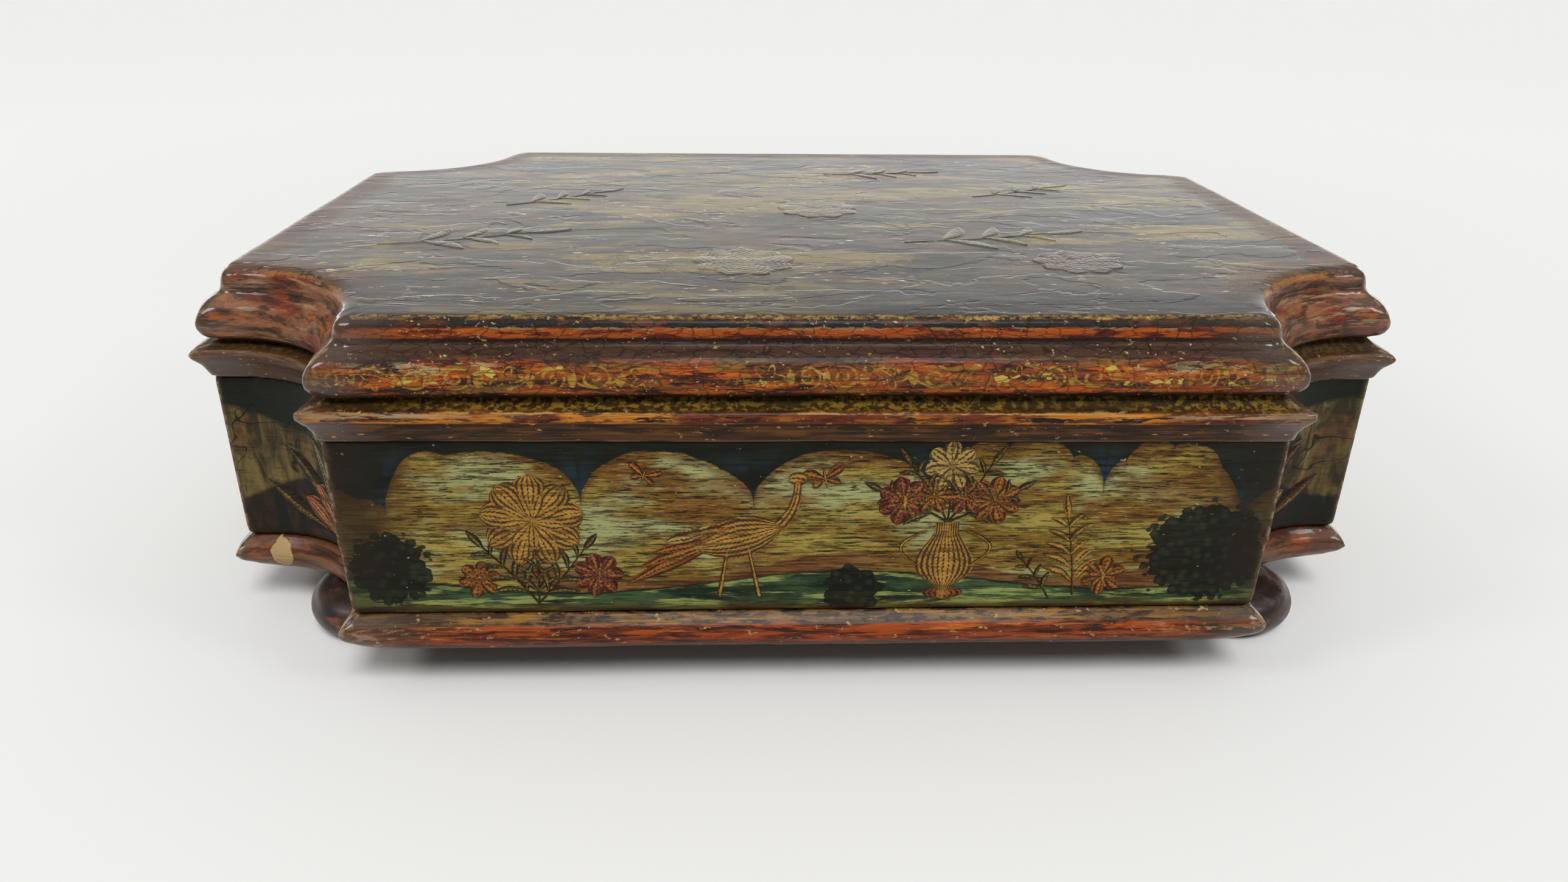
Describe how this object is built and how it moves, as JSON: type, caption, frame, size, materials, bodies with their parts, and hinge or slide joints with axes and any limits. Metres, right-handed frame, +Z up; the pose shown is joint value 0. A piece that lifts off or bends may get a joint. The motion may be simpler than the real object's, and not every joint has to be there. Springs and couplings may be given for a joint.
{
  "type": "hinged lacquered casket",
  "caption": "Rectangular wooden table box with scooped corners, moulded base, rim and lid, bun feet and a lid that swings on butt hinges at the back.",
  "frame": {"origin": "on the floor under the middle of the box, at the level of the feet's soles", "axes": "+X along the box's length to the right as seen from the front, +Y to the back where the hinges are, +Z up"},
  "size_m": [0.3182, 0.2382, 0.0975],
  "materials": {
    "lid_top_lacquer": "worn satin lacquer over painted paper cut-outs, grey-taupe with olive and mauve",
    "lid_moulding_lacquer": "glossy orange-red lacquer with worn gilt scrolls",
    "rim_lacquer": "satin red-brown lacquer, speckled olive ledge",
    "wall_lacquer": "satin dark green lacquer, painted landscape",
    "base_lacquer": "glossy orange-red lacquer, worn edges",
    "foot_lacquer": "satin dark brown lacquer",
    "bare_board": "aged plain softwood, unfinished",
    "hinge_brass": "dull aged brass",
    "nail_iron": "dark hand-made iron"
  },
  "bodies": {
    "case": {"rim_front": "rim_lacquer", "rim_back": "rim_lacquer", "rim_left": "rim_lacquer", "rim_right": "rim_lacquer", "rim_corner_front_left": "rim_lacquer", "rim_corner_front_right": "rim_lacquer", "rim_corner_back_right": "rim_lacquer", "rim_corner_back_left": "rim_lacquer", "wall_front": "wall_lacquer", "wall_back": "wall_lacquer", "wall_left": "wall_lacquer", "wall_right": "wall_lacquer", "corner_block_front_left": "wall_lacquer", "corner_block_front_right": "wall_lacquer", "corner_block_back_right": "wall_lacquer", "corner_block_back_left": "wall_lacquer", "base_front": "base_lacquer", "base_back": "base_lacquer", "base_left": "base_lacquer", "base_right": "base_lacquer", "base_corner_front_left": "base_lacquer", "base_corner_front_right": "base_lacquer", "base_corner_back_right": "base_lacquer", "base_corner_back_left": "base_lacquer", "foot_front_left": "foot_lacquer", "foot_front_right": "foot_lacquer", "foot_back_right": "foot_lacquer", "foot_back_left": "foot_lacquer", "bottom_board": "bare_board", "case_hinge_leaf_left": "hinge_brass", "case_hinge_leaf_right": "hinge_brass", "hinge_pin_left": "hinge_brass", "hinge_pin_right": "hinge_brass", "base_nails": "nail_iron", "case_hinge_nails": "nail_iron"},
    "lid": {"lid_board": "lid_top_lacquer", "lid_frame_front": "lid_moulding_lacquer", "lid_frame_back": "lid_moulding_lacquer", "lid_frame_left": "lid_moulding_lacquer", "lid_frame_right": "lid_moulding_lacquer", "lid_frame_corner_front_left": "lid_moulding_lacquer", "lid_frame_corner_front_right": "lid_moulding_lacquer", "lid_frame_corner_back_right": "lid_moulding_lacquer", "lid_frame_corner_back_left": "lid_moulding_lacquer", "lid_hinge_leaf_left": "hinge_brass", "lid_hinge_leaf_right": "hinge_brass", "lid_hinge_nails": "nail_iron"}
  },
  "joints": [
    {"name": "lid_hinge", "type": "hinge", "parent": "case", "child": "lid", "pos_m": [0, 0.117, 0.07965], "axis": [-1, 0, 0], "range_deg": [0, 120]}
  ]
}
